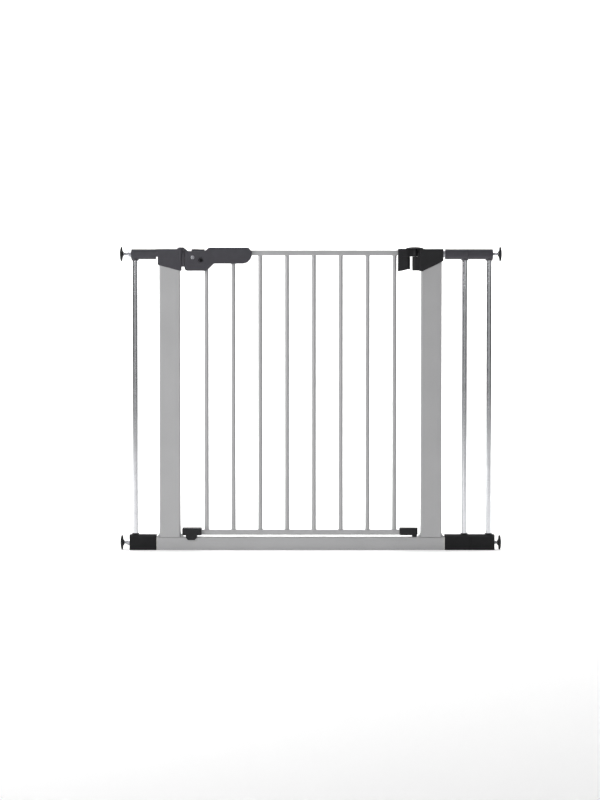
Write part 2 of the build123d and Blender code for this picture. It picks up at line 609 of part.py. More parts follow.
def wall_pad(side, z):
    """A round dished pad: flat middle and crowned face towards the wall, hub behind."""
    rim = PAD_CROWN + PAD_RIM
    dish = rim + PAD_DISH
    hub = SPINDLE_RADIUS + PAD_HUB_WALL
    foot = hub + PAD_HUB_FOOT
    face_edges = [Line((0, 0), (PAD_FLAT_RADIUS, 0)),
                  ThreePointArc((PAD_FLAT_RADIUS, 0), (PAD_RADIUS * 0.68, PAD_CROWN * 0.33),
                                (PAD_RADIUS, PAD_CROWN)),
                  Line((PAD_RADIUS, PAD_CROWN), (PAD_RADIUS, rim)),
                  Line((PAD_RADIUS, rim), (foot, dish)),
                  Line((foot, dish), (hub, PAD_LENGTH)),
                  Line((hub, PAD_LENGTH), (0, PAD_LENGTH)),
                  Line((0, PAD_LENGTH), (0, 0))]
    disc = revolve(Plane.XZ * make_face(Wire(face_edges)), Axis.Z)
    pad = Pos(pad_face(side), 0, z) * Rot(0, -side * 90, 0) * disc
    floor = pad_face(side) - side * PAD_SOCKET_FLOOR
    return pad - rod_x(floor, floor - side * PAD_LENGTH, SPINDLE_RADIUS + PRESS, z)


def adjusting_nut(side, z, end):
    seat = nut_seat(side, end) + side * NUT_GAP
    hexagon = RegularPolygon(NUT_ACROSS_FLATS / 2, 6, major_radius=False)
    body = extrude(hexagon, amount=NUT_HEX)
    body = body & Pos(0, 0, NUT_HEX / 2) * Cylinder(NUT_CORNER_RADIUS, NUT_HEX)
    collar = Pos(0, 0, NUT_HEX + NUT_COLLAR / 2) * Cylinder(SPINDLE_RADIUS + NUT_COLLAR_WALL,
                                                            NUT_COLLAR)
    nut = body + collar - Cylinder(SPINDLE_RADIUS + RUNNING, 4 * NUT_HEX)
    return Pos(seat, 0, z) * Rot(0, side * 90, 0) * nut


# ---- hinge pins ----
def upper_hinge_pin():
    return rod_z(UPPER_PIN_BOTTOM, ARM_TOP - SEAT_GAP, PIN_RADIUS, HINGE_X)


def lower_hinge_pin():
    return rod_z(LOWER_PIN_BOTTOM, LOWER_PIN_TOP, PIN_RADIUS, HINGE_X)


# ---- door ----
def door_rail(x0, x1, z_bottom):
    return tube_along_x(x0, x1, DOOR_RAIL, DOOR_RAIL, DOOR_RAIL_WALL, DOOR_RAIL_CORNER,
                        z_bottom + DOOR_RAIL / 2)


def door_bar(x):
    radius = BAR_DIAMETER / 2
    return (rod_z(DOOR_RAIL_TOP, DOOR_TOP_RAIL_BOTTOM, radius, x)
            - rod_z(DOOR_RAIL_TOP - 1, DOOR_TOP_RAIL_BOTTOM + 1, radius - BAR_WALL, x))


def rail_hole(x0, x1, z_bottom):
    """Room for a square door rail with its fixing clearance."""
    half = DOOR_RAIL / 2 + PRESS
    return block(x0, x1, -half, half, z_bottom - PRESS, z_bottom + DOOR_RAIL + PRESS)


def handle_outline(inset=0.0):
    """The handle's closed front-view outline, drawn inside itself by inset."""
    end = HANDLE_END
    far = end + HANDLE_LENGTH
    body_right = end + HANDLE_BODY_LENGTH
    points = [(end, GRIP_TOP - 1.3), (end + DECK_START, HANDLE_DECK),
              (end + DECK_END, HANDLE_DECK), (end + DECK_END + DECK_RAMP, GRIP_TOP),
              (far - GRIP_END_DROP[0], GRIP_TOP), (far, GRIP_TOP - GRIP_END_DROP[1]),
              (far, GRIP_BOTTOM),
              (body_right + HANDLE_SLOPE_LENGTH, GRIP_BOTTOM),
              (body_right, HANDLE_BODY_BOTTOM), (end, HANDLE_BODY_BOTTOM)]
    rounds = [0.8, 1.0, 1.0, 1.5, 2.0, 3.0, GRIP_NOSE_ROUND, 4.0, 2.0, 7.0]
    face = make_face(FilletPolyline(*points, radius=rounds, close=True))
    return offset(face, -inset) if inset else face


def handle_shell(way):
    """One half of the handle: way is -1 for the front half and 1 for the back half."""
    depth = HANDLE_HALF_DEPTH
    inner_depth = depth - HANDLE_WALL
    outer = Plane.XZ * handle_outline()
    outer = extrude(outer, amount=-way * depth)
    outer = soften(outer, HANDLE_EDGE_ROUND, [outer.faces().sort_by(Axis.Y)[-1 if way > 0 else 0]])
    cavity = extrude(Plane.XZ * handle_outline(HANDLE_WALL), amount=-way * inner_depth)
    shell = outer - cavity

    # spring rib, then screw bosses that meet at the depth of the front screw's seat
    rib_x = HANDLE_END + SPRING_RIB_FROM_END
    y0, y1 = sorted((0.0, way * (inner_depth + 0.5)))
    shell += block(rib_x, rib_x + SPRING_RIB, y0, y1, CATCH_LEG_BOTTOM + 4,
                   HANDLE_DECK - HANDLE_WALL + 1)
    seat = depth - RECESS_DEPTH
    boss_end = seat - HANDLE_WALL
    head_posts = [(FRONT_SCREW_X, FRONT_SCREW_Z, -1)]
    head_posts += [(HANDLE_END + d, GRIP_SCREW_Z, 1) for d in GRIP_SCREWS_FROM_END]
    for x, z, head_way in head_posts:
        if head_way == way:
            shell += rod_y(way * boss_end, way * (inner_depth + 0.5),
                           RECESS_RADIUS + RECESS_WALL, x, z)
            shell -= rod_y(way * seat, way * (depth + 1), RECESS_RADIUS, x, z)
            shell -= rod_y(way * (boss_end - 1), way * (depth + 1), SCREW_RADIUS + PRESS, x, z)
        else:
            reach = -way * (boss_end - PRESS)
            shell += rod_y(reach, way * (inner_depth + 0.5), SCREW_BOSS_RADIUS, x, z)
            shell -= rod_y(reach - way, way * (depth - 5), SCREW_RADIUS + PRESS, x, z)

    # holes for the rail, the two bars, the rivet, the bolt and the button
    far = HANDLE_END + HANDLE_LENGTH
    shell -= rail_hole(far - 30, far + 5, DOOR_TOP_RAIL_BOTTOM)
    shell -= rail_hole(FIRST_BAR - BAR_DIAMETER / 2 - CATCH_PLAY, HANDLE_END + DECK_END + 12,
                       DOOR_TOP_RAIL_BOTTOM)
    for number in (0, 1):
        x = FIRST_BAR + number * BAR_PITCH
        shell -= rod_z(HANDLE_BODY_BOTTOM - 5, DOOR_TOP_RAIL_BOTTOM, BAR_DIAMETER / 2 + PRESS, x)
    shell -= rod_y(-depth - 1, depth + 1, RIVET_RADIUS + PRESS, RIVET_X, RIVET_Z)
    half = CATCH_HALF_WIDTH + CATCH_PLAY
    shell -= block(HANDLE_END - 1, HANDLE_END + HANDLE_WALL + 1, -half, half,
                   CATCH_BOTTOM - CATCH_PLAY, CATCH_TOP + CATCH_PLAY)
    start = HANDLE_END + BUTTON_START - CATCH_PLAY
    reach = HANDLE_END + BUTTON_END + CATCH_TRAVEL + CATCH_PLAY
    half = BUTTON_STEM_HALF_WIDTH + CATCH_PLAY
    shell -= block(start, reach, -half, half, CATCH_TOP, GRIP_TOP + 1)
    half = BUTTON_HALF_WIDTH + CATCH_PLAY
    return shell - block(start, reach, -half, half, HANDLE_DECK, GRIP_TOP + 1)


def handle_screws():
    seat = HANDLE_HALF_DEPTH - RECESS_DEPTH
    screws = [screw(FRONT_SCREW_X, -seat, FRONT_SCREW_Z, -1, HANDLE_SCREW_LENGTH)]
    for distance in GRIP_SCREWS_FROM_END:
        screws.append(screw(HANDLE_END + distance, seat, GRIP_SCREW_Z, 1, HANDLE_SCREW_LENGTH))
    return screws


def catch_guide_rivet():
    depth = HANDLE_HALF_DEPTH
    rivet = rod_y(-depth, depth, RIVET_RADIUS, RIVET_X, RIVET_Z)
    for way in (-1, 1):
        head = rod_y(way * depth, way * (depth + RIVET_HEAD_HEIGHT), RIVET_HEAD_RADIUS,
                     RIVET_X, RIVET_Z)
        outer = head.faces().sort_by(Axis.Y)[0 if way < 0 else -1]
        rivet += fillet(outer.edges(), RIVET_HEAD_HEIGHT * 0.8)
    return rivet


def bracket_arm_outline(left, right, low_left, low_right):
    return [(left, ARM_BOTTOM + 1), (right, ARM_BOTTOM + 1), (right, low_right),
            (left + BRACKET_FOOT, low_left + 1.5), (left, low_left)]


def upper_hinge_bracket():
    """Arm over the post cap's nose, with a wing beside it; thin near the pin, thick beyond."""
    thick = THICK_HALF_DEPTH
    arm = block(BRACKET_LEFT, BRACKET_THICK_END, -thick, thick, ARM_BOTTOM, ARM_TOP)
    wing = slab(bracket_arm_outline(BRACKET_LEFT, BRACKET_THICK_END, BRACKET_LOW_LEFT,
                                    BRACKET_LOW_RIGHT),
                -thick + WING_NARROWER, thick - WING_NARROWER)
    lip_start = HINGE_X - BRACKET_LIP_FROM_PIN
    web = block(BRACKET_THICK_END - 1, HINGE_X, -WEB_HALF_DEPTH, WEB_HALF_DEPTH,
                ARM_BOTTOM, ARM_TOP)
    groove = block(BRACKET_THICK_END - 1, lip_start + 1, -WEB_HALF_DEPTH + 3,
                   WEB_HALF_DEPTH - 3, BRACKET_LOW_RIGHT, ARM_BOTTOM + 1)
    lip = block(lip_start, HINGE_X - BRACKET_RIGHT_FROM_PIN, -WEB_HALF_DEPTH, WEB_HALF_DEPTH,
                BRACKET_LOW_RIGHT, ARM_BOTTOM + 1)
    knuckle = rod_z(ARM_BOTTOM, ARM_TOP, KNUCKLE_RADIUS, HINGE_X)
    arm = fillet(arm.faces().sort_by(Axis.X)[0].edges(), 1.2)
    part = arm + wing + web + groove + lip + knuckle
    part -= rail_hole(BRACKET_LEFT - 1, BRACKET_THICK_END - 1.5, DOOR_TOP_RAIL_BOTTOM)
    return part - rod_z(ARM_BOTTOM - 1, ARM_TOP + 1, PIN_RADIUS + RUNNING, HINGE_X)


def hinge_dome_cap():
    crown = GATE_HEIGHT - ARM_TOP
    arc = ThreePointArc((0, crown), (DOME_RADIUS * 0.55, crown - (crown - DOME_RIM) * 0.29),
                        (DOME_RADIUS, DOME_RIM))
    outline = Wire([Line((0, 0), (DOME_RADIUS, 0)), Line((DOME_RADIUS, 0), (DOME_RADIUS, DOME_RIM)),
                    arc, Line((0, crown), (0, 0))])
    return Pos(HINGE_X, 0, ARM_TOP) * revolve(Plane.XZ * make_face(outline), Axis.Z)


def lower_hinge_shoe():
    half = HINGE_SHOE_HALF_DEPTH
    body = block(HINGE_SHOE_LEFT, HINGE_X, -half, half, SHOE_BOTTOM, SHOE_TOP)
    body = fillet(body.faces().sort_by(Axis.X)[0].edges(), SHOE_ROUND)
    throat = HINGE_X - HINGE_SHOE_KNUCKLE
    body -= block(throat, HINGE_X + 1, -half - 1, half + 1, SHOE_BOTTOM - 1, SHOE_TOP + 1)
    knuckle = rod_z(SHOE_BOTTOM, SHOE_TOP, HINGE_SHOE_KNUCKLE, HINGE_X)
    knuckle = chamfer(knuckle.faces().sort_by(Axis.Z)[0].edges(), 2.0)
    bridge = block(throat - 1, HINGE_X, -HINGE_SHOE_KNUCKLE, HINGE_SHOE_KNUCKLE,
                   SHOE_BOTTOM, SHOE_TOP)
    collar = rod_z(RAIL_HEIGHT + SEAT_GAP, SHOE_BOTTOM + 1, COLLAR_RADIUS, HINGE_X)
    part = body + bridge + knuckle + collar
    part -= rail_hole(HINGE_SHOE_LEFT - 1, HINGE_X - HINGE_SHOE_KNUCKLE - 2, DOOR_BOTTOM)
    return part - rod_z(RAIL_HEIGHT, LOWER_PIN_TOP + RUNNING, PIN_RADIUS + RUNNING, HINGE_X)


def bottom_stop_shoe():
    """Shoe on the door's free end; its lug straddles the frame rail until the door is lifted."""
    depth = RAIL_DEPTH / 2 + SEAT_GAP + STOP_CHEEK
    body = block(STOP_SHOE_LEFT, STOP_SHOE_RIGHT, -depth, depth, SHOE_BOTTOM, SHOE_TOP)
    body = fillet(body.edges().filter_by(Axis.Y) + body.edges().filter_by(Axis.X), SHOE_ROUND)
    root = SHOE_BOTTOM + SHOE_ROUND
    left, right = (STOP_SHOE_LEFT + along for along in STOP_LUG)
    tip_left, tip_right = (STOP_SHOE_LEFT + along for along in STOP_LUG_TIP)
    lug = slab([(left, root), (left, STOP_LUG_SHOULDER), (tip_left, STOP_LUG_BOTTOM),
                (tip_right, STOP_LUG_BOTTOM), (right, STOP_LUG_SHOULDER), (right, root)],
               -depth, depth)
    gap = RAIL_DEPTH / 2 + SEAT_GAP
    part = body + lug
    part -= block(left - 1, right + 1, -gap, gap, STOP_LUG_BOTTOM - 1, RAIL_HEIGHT + SEAT_GAP)
    return part - rail_hole(STOP_SHOE_LEFT + DOOR_RAIL, STOP_SHOE_RIGHT + 1, DOOR_BOTTOM)


# ---- catch ----
def catch_slider():
    """Bolt, guide leg and thumb button in one moulding."""
    end = HANDLE_END
    half = CATCH_HALF_WIDTH
    bolt_tip = end - CATCH_TRAVEL
    part = block(bolt_tip, end + CATCH_REAR, -half, half, CATCH_BOTTOM, CATCH_TOP)
    part = chamfer(part.faces().sort_by(Axis.X)[0].edges(), CATCH_NOSE)
    part += block(end + CATCH_LEG_START, end + CATCH_LEG_END, -half, half,
                  CATCH_LEG_BOTTOM, CATCH_BOTTOM)
    wide = BUTTON_HALF_WIDTH
    button = block(end + BUTTON_START, end + BUTTON_END, -wide, wide,
                   HANDLE_DECK + CATCH_PLAY, BUTTON_TOP)
    button = fillet(button.faces().sort_by(Axis.Z)[-1].edges(), 0.7)
    wide = BUTTON_STEM_HALF_WIDTH
    part += button + block(end + BUTTON_START, end + BUTTON_TAIL_START, -wide, wide,
                           CATCH_TOP, HANDLE_DECK + 1)
    wide += CATCH_PLAY
    part -= block(end + BUTTON_TAIL_START, end + BUTTON_END + 1, -wide, wide,
                  CATCH_TOP, DOOR_TOP + BUTTON_OVER_RAIL)
    slot_end = RIVET_RADIUS + CATCH_PLAY / 2
    track = SlotCenterToCenter(CATCH_TRAVEL, 2 * slot_end)
    track = extrude(Plane.XZ * track, amount=half + 1, both=True)
    part -= Pos(RIVET_X - CATCH_TRAVEL / 2, 0, RIVET_Z) * track
    middle = (CATCH_BOTTOM + CATCH_TOP) / 2
    return part - rod_x(end + CATCH_REAR - SPRING_POCKET_DEPTH, end + CATCH_REAR + 1,
                        SPRING_POCKET_RADIUS, middle)


def catch_spring():
    start = HANDLE_END + CATCH_REAR - SPRING_POCKET_DEPTH + SPRING_WIRE / 2 + PRESS
    finish = HANDLE_END + SPRING_RIB_FROM_END - SPRING_WIRE / 2 - PRESS
    length = finish - start
    helix = Helix(length / SPRING_TURNS, length, SPRING_RADIUS)
    section = Plane(origin=helix @ 0, z_dir=helix % 0) * Circle(SPRING_WIRE / 2)
    coil = sweep(section, path=helix, is_frenet=True)
    return Pos(start, 0, (CATCH_BOTTOM + CATCH_TOP) / 2) * Rot(0, 90, 0) * coil


# ---- the whole gate ----
def gate():
    """Every sub-part by name, as a list of separate solids."""
    parts = {
        "bottom_rail": [bottom_rail()],
        "rail_end_plugs": rail_end_plugs(),
        "post_left": [post(-1)],
        "post_right": [post(1)],
        "foot_gussets": foot_gussets(),
        "latch_post_cap": [latch_post_cap()],
        "hinge_post_cap": [hinge_post_cap()],
        "cap_screws": cap_screws(),
        "hinge_bushes": hinge_bushes(),
        "upper_joining_spigots": joining_spigots(UPPER_SPANS, UPPER_AXIS_Z, True),
        "lower_joining_spigots": joining_spigots(LOWER_SPANS, LOWER_AXIS_Z, False),
        "spindle_guides": spindle_guides(),
        "upper_hinge_pin": [upper_hinge_pin()],
        "lower_hinge_pin": [lower_hinge_pin()],
        "door_top_rail": [door_rail(FIRST_BAR - BAR_DIAMETER / 2, BRACKET_THICK_END - 2.5,
                                    DOOR_TOP_RAIL_BOTTOM)],
        "door_bottom_rail": [door_rail(STOP_SHOE_LEFT + DOOR_RAIL + CATCH_PLAY,
                                       HINGE_X - HINGE_SHOE_KNUCKLE - 3, DOOR_BOTTOM)],
        "handle_front_shell": [handle_shell(-1)],
        "handle_back_shell": [handle_shell(1)],
        "handle_screws": handle_screws(),
        "catch_guide_rivet": [catch_guide_rivet()],
        "upper_hinge_bracket": [upper_hinge_bracket()],
        "hinge_dome_cap": [hinge_dome_cap()],
        "lower_hinge_shoe": [lower_hinge_shoe()],
        "bottom_stop_shoe": [bottom_stop_shoe()],
        "catch_slider": [catch_slider()],
        "catch_spring": [catch_spring()],
    }
    for number in range(BAR_COUNT):
        parts[f"door_bar_{number + 1}"] = [door_bar(FIRST_BAR + number * BAR_PITCH)]
    for word, tubes, side in (("left", LEFT_TUBES, -1), ("right", RIGHT_TUBES, 1)):
        for number, x in enumerate(tubes):
            name = f"{word}_{number + 1}"
            last = number == len(tubes) - 1
            parts[f"extension_tube_{name}"] = [extension_tube(x)]
            parts[f"upper_connector_{name}"] = [
                upper_connector(UPPER_SPANS[side][number], x, last)]
            parts[f"lower_connector_{name}"] = [
                lower_connector(LOWER_SPANS[side][number], x, last)]
    for name, side, z, end in spindle_places():
        parts[f"spindle_rod_{name}"] = [spindle_rod(side, z, end)]
        parts[f"wall_pad_{name}"] = [wall_pad(side, z)]
        parts[f"adjusting_nut_{name}"] = [adjusting_nut(side, z, end)]
    return parts


def main():
    os.makedirs("parts", exist_ok=True)
    home = Pos(-BOX_CENTRE, 0, 0)
    for name, solids in gate().items():
        placed = [home * solid for piece in solids for solid in piece.solids()]
        shape = placed[0] if len(placed) == 1 else Compound(children=placed)
        export_step(shape, f"parts/{name}.step")


if __name__ == "__main__":
    main()
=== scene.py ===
"""Looks of a pressure-fit safety gate: its paint, chrome, zinc, plastic and rubber, its welds and
threads, its wall pads, and a plain studio round it. Lengths are in metres, +Z up.
"""
import json
import math

import bpy
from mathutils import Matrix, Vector


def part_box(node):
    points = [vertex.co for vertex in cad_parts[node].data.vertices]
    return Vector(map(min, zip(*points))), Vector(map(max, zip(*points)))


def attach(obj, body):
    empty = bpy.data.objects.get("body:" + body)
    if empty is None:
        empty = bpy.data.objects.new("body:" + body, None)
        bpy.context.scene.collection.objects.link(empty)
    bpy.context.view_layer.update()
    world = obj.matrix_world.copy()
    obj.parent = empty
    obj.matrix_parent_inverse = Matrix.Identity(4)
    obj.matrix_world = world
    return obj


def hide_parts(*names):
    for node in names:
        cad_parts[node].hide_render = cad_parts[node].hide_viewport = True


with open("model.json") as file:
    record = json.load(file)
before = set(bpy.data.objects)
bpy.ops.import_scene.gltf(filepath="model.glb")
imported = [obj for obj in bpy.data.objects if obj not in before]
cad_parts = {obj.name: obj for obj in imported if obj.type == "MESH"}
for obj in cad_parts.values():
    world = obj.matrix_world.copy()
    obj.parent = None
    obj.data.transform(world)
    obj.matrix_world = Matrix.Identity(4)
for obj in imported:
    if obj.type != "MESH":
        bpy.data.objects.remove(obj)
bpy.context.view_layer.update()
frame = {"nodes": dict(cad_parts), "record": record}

bl_info = {
    "name": "Safety gate looks",
    "version": (1, 0, 0),
    "blender": (4, 5, 0),
    "location": "3D View > Sidebar > Gate",
    "description": "Finishes, welds, threads, pads and a studio for a pressure-fit safety gate",
    "category": "Object",
}

MM = 0.001
NODES = frame["nodes"]
SPINDLES = [f"{level}_{side}" for level in ("upper", "lower") for side in ("left", "right")]
BARS = sorted(name for name in NODES if name.startswith("door_bar_"))
COLLECTION = bpy.context.scene.collection

THREAD_ROWS_PER_TURN = 8
RIB_RADIUS = 0.7 * MM
RIB_PITCH = 3.0 * MM
RIB_WIDTH = 14.0 * MM
RIBS_FROM_END = 30.0 * MM        # from the slider's right-hand end back to the first rib
WELD_SQUEEZE = 0.88              # depth of a bar's weld, as a share of its width
BEAD_STEP = 0.8                  # from one bead to the next, as a share of the bead's radius

# The studio, in metres
PAPER_REACH = 6.0                # to each side, to the front and up the back
PAPER_RUN = 4.0                  # from the gate back to where the paper starts to rise
PAPER_SWEEP = 1.0                # radius of the rise
VIEW_HEIGHT = 1.924              # of the view, at the front of the gate
AIM_HEIGHT = 0.3613
AIM_OFFSET = 1.3 * MM            # to the left of the middle of the bottom rail


# ---- colours, nodes and meshes ----
def linear(hex_colour):
    """An sRGB hex colour as linear red, green, blue and alpha."""
    channels = [int(hex_colour[i:i + 2], 16) / 255 for i in (1, 3, 5)]
    return tuple(c / 12.92 if c <= 0.04045 else ((c + 0.055) / 1.055) ** 2.4
                 for c in channels) + (1.0,)


def add(tree, kind, settings=None, inputs=None):
    """Add a node with its settings; each input is a value, or an output to link from."""
    node = tree.nodes.new(kind)
    for key, value in (settings or {}).items():
        setattr(node, key, value)
    for key, value in (inputs or {}).items():
        if isinstance(value, bpy.types.NodeSocket):
            tree.links.new(value, node.inputs[key])
        else:
            node.inputs[key].default_value = value
    return node


def new_piece(name, mesh, body):
    """A finished mesh as an object that rides on a body and takes its finish from a slot."""
    piece = bpy.data.objects.new(name, mesh)
    COLLECTION.objects.link(piece)
    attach(piece, body)
    return piece


def centre(node):
    """The middle of a node's box."""
    low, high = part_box(node)
    return (low + high) / 2


# ---- finishes ----
def blank_material(name):
    """A material with an empty node tree."""
    material = bpy.data.materials.new(name)
    material.use_nodes = True
    material.node_tree.nodes.clear()
    return material


def surface(material, inputs):
    """Give a material its shader and output."""
    tree = material.node_tree
    shader = add(tree, "ShaderNodeBsdfPrincipled", None, inputs)
    add(tree, "ShaderNodeOutputMaterial", None, {"Surface": shader.outputs["BSDF"]})
    return material


def grain(tree, size_mm, detail=3.0, stretch=(1.0, 1.0, 1.0)):
    """Noise with features of a real size, drawn out along an axis where stretch is below 1."""
    place = add(tree, "ShaderNodeTexCoord")
    spread = add(tree, "ShaderNodeMapping", None,
                 {"Vector": place.outputs["Object"], "Scale": stretch})
    noise = add(tree, "ShaderNodeTexNoise", None,
                {"Vector": spread.outputs["Vector"], "Scale": 1 / (size_mm * MM),
                 "Detail": detail})
    return noise.outputs["Fac"]


def between(tree, factor, low, high):
    """Spread noise, which stays near a half, over a range of values."""
    span = add(tree, "ShaderNodeMapRange", None,
               {"Value": factor, "From Min": 0.3, "From Max": 0.7, "To Min": low, "To Max": high})
    return span.outputs["Result"]


def blended(tree, factor, dark, light):
    """One colour where the factor is 0 and another where it is 1."""
    mix = add(tree, "ShaderNodeMix", {"data_type": "RGBA"}, {0: factor, 6: dark, 7: light})
    return mix.outputs[2]


def edge_wear(tree, radius_mm, amount):
    """A mask of the outer edges that hands and cloths polish."""
    bevel = add(tree, "ShaderNodeBevel", {"samples": 4}, {"Radius": radius_mm * MM})
    flat = add(tree, "ShaderNodeNewGeometry")
    facing = add(tree, "ShaderNodeVectorMath", {"operation": "DOT_PRODUCT"},
                 {0: bevel.outputs["Normal"], 1: flat.outputs["Normal"]})
    edge = add(tree, "ShaderNodeMapRange", None,
               {"Value": facing.outputs["Value"], "From Min": 0.99, "From Max": 0.8,
                "To Min": 0.0, "To Max": amount})
    return edge.outputs["Result"]


def relief(tree, height, depth_mm):
    """Fine relief of a real depth, as a bump."""
    bump = add(tree, "ShaderNodeBump", None,
               {"Height": height, "Distance": depth_mm * MM, "Strength": 1.0})
    return bump.outputs["Normal"]


def silver_powder_coat(looks):
    """Polyester powder coat on steel: satin silver grey with fine metal flake, a faint orange
    peel 2 mm across, and a slightly cleaner line along the edges."""
    material = blank_material("silver_powder_coat")
    tree = material.node_tree
    base = tuple(looks.paint_colour) + (1.0,)
    shade = tuple(0.9 * c for c in looks.paint_colour) + (1.0,)
    flake = between(tree, grain(tree, 0.5, 2.0), 0.0, 0.35)
    cloud = between(tree, grain(tree, 70.0, 2.0), 0.0, 0.5)
    mottle = add(tree, "ShaderNodeMath", {"operation": "ADD"}, {0: flake, 1: cloud})
    colour = blended(tree, mottle.outputs["Value"], base, shade)
    worn = blended(tree, edge_wear(tree, 0.8, 0.25), colour, linear("#d4d4d4"))
    return surface(material, {
        "Base Color": worn, "Metallic": 0.35,
        "Roughness": between(tree, grain(tree, 6.0), 0.4, 0.48),
        "Normal": relief(tree, grain(tree, 2.0, 1.0), 0.02)})


def chrome_plate():
    """Bright chrome over drawn steel tube: mirror-like, with hairlines along the tube left by
    polishing and a faint haze of finger grease."""
    material = blank_material("chrome_plate")
    tree = material.node_tree
    hairline = grain(tree, 0.6, 2.0, (1.0, 1.0, 0.01))
    return surface(material, {
        "Base Color": linear("#d2d3d6"), "Metallic": 1.0,
        "Roughness": between(tree, grain(tree, 25.0), 0.1, 0.16),
        "Normal": relief(tree, hairline, 0.0008)})


def zinc_plate(name="zinc_plate", tint="#bbbbc0", cloud_tint="#8f9098", low=0.22, high=0.34):
    """Zinc plate on cold-formed steel: bluish white metal, or black where it was dyed, a little
    cloudy, with a fine grain."""
    material = blank_material(name)
    tree = material.node_tree
    cloud = between(tree, grain(tree, 4.0, 4.0), 0.0, 0.6)
    return surface(material, {
        "Base Color": blended(tree, cloud, linear(tint), linear(cloud_tint)), "Metallic": 1.0,
        "Roughness": between(tree, grain(tree, 1.2), low, high),
        "Normal": relief(tree, grain(tree, 0.4), 0.01)})


def moulded_nylon(name, colour, polish, rough, gloss):
    """Glass-filled nylon moulded in a spark-eroded tool: dull, with a fine leathery grain 0.6 mm
    across, smoother and paler on the edges that are handled."""
    material = blank_material(name)
    tree = material.node_tree
    dark = tuple(0.82 * c for c in colour) + (1.0,)
    cloud = between(tree, grain(tree, 14.0, 3.0), 0.0, 0.7)
    body = blended(tree, cloud, tuple(colour) + (1.0,), dark)
    rubbed = edge_wear(tree, 1.2, polish)
    lift = tuple(min(1.0, 1.9 * c + 0.012) for c in colour) + (1.0,)
    return surface(material, {
        "Base Color": blended(tree, rubbed, body, lift), "Specular IOR Level": gloss,
        "Roughness": between(tree, grain(tree, 3.0), rough, rough + 0.1),
        "Normal": relief(tree, grain(tree, 0.6, 2.0), 0.05)})


def natural_nylon():
    """Uncoloured nylon, moulded smooth: off-white, waxy and a little see-through."""
    material = blank_material("natural_nylon")
    tree = material.node_tree
    cloud = between(tree, grain(tree, 5.0), 0.0, 1.0)
    return surface(material, {
        "Base Color": blended(tree, cloud, linear("#cfcfcc"), linear("#bdbdb8")),
        "Roughness": between(tree, grain(tree, 2.0), 0.38, 0.46),
        "Subsurface Weight": 0.1, "Subsurface Radius": (MM, MM, MM),
        "Normal": relief(tree, grain(tree, 0.8), 0.015)})


def pad_rubber(looks):
    """Moulded thermoplastic rubber: matt dark grey, dusty in patches where it has been pressed
    on a wall."""
    material = blank_material("pad_rubber")
    tree = material.node_tree
    dust = between(tree, grain(tree, 3.0, 5.0), 0.0, 0.8)
    colour = tuple(looks.rubber_colour) + (1.0,)
    dusty = tuple(1.4 * c + 0.004 for c in looks.rubber_colour) + (1.0,)
    return surface(material, {
        "Base Color": blended(tree, dust, colour, dusty), "Specular IOR Level": 0.2,
        "Roughness": between(tree, grain(tree, 1.5), 0.62, 0.78),
        "Normal": relief(tree, grain(tree, 0.35, 3.0), 0.04)})


def painted_weld(looks):
    """A weld bead under the same powder coat, a little darker in its ripples."""
    material = blank_material("painted_weld")
    tree = material.node_tree
    shade = tuple(0.8 * c for c in looks.paint_colour) + (1.0,)
    full = tuple(looks.paint_colour) + (1.0,)
    return surface(material, {
        "Base Color": blended(tree, between(tree, grain(tree, 1.5), 0.0, 1.0), shade, full),
        "Metallic": 0.3, "Roughness": between(tree, grain(tree, 1.0), 0.42, 0.55),
        "Normal": relief(tree, grain(tree, 0.7), 0.03)})


# ---- geometry trees ----
SOCKETS = {float: "NodeSocketFloat", int: "NodeSocketInt", Vector: "NodeSocketVector",
           bpy.types.Material: "NodeSocketMaterial"}


def new_tree(name, kinds):
    """A geometry tree with a named input for each size, and the node that holds them."""
    tree = bpy.data.node_groups.new(name, "GeometryNodeTree")
    tree.interface.new_socket("Geometry", in_out="INPUT", socket_type="NodeSocketGeometry")
    for label, kind in kinds.items():
        tree.interface.new_socket(label, in_out="INPUT", socket_type=SOCKETS[kind])
    tree.interface.new_socket("Geometry", in_out="OUTPUT", socket_type="NodeSocketGeometry")
    return tree, add(tree, "NodeGroupInput").outputs


def close_tree(tree, geometry, material):
    """End a tree: real geometry, smooth shading, one material."""
    real = add(tree, "GeometryNodeRealizeInstances", None, {"Geometry": geometry})
    smooth = add(tree, "GeometryNodeSetShadeSmooth", None, {"Geometry": real.outputs["Geometry"]})
    done = add(tree, "GeometryNodeSetMaterial", None,
               {"Geometry": smooth.outputs["Geometry"], "Material": material})
    add(tree, "NodeGroupOutput", None, {"Geometry": done.outputs["Geometry"]})


def grow(name, tree, values, body, start=None):
    """Run a tree on a start mesh with its inputs set, and keep the result as a plain mesh."""
    carrier = bpy.data.objects.new(name, start or bpy.data.meshes.new(name))
    COLLECTION.objects.link(carrier)
    modifier = carrier.modifiers.new(name, "NODES")
    modifier.node_group = tree
    for item in tree.interface.items_tree:
        if item.in_out == "INPUT" and item.name in values:
            modifier[item.identifier] = values[item.name]
    graph = bpy.context.evaluated_depsgraph_get()
    mesh = bpy.data.meshes.new_from_object(carrier.evaluated_get(graph))
    if not mesh.polygons:
        raise RuntimeError(f"{name} came out empty")
    bpy.data.objects.remove(carrier)
    mesh.name = name
    return new_piece(name, mesh, body)


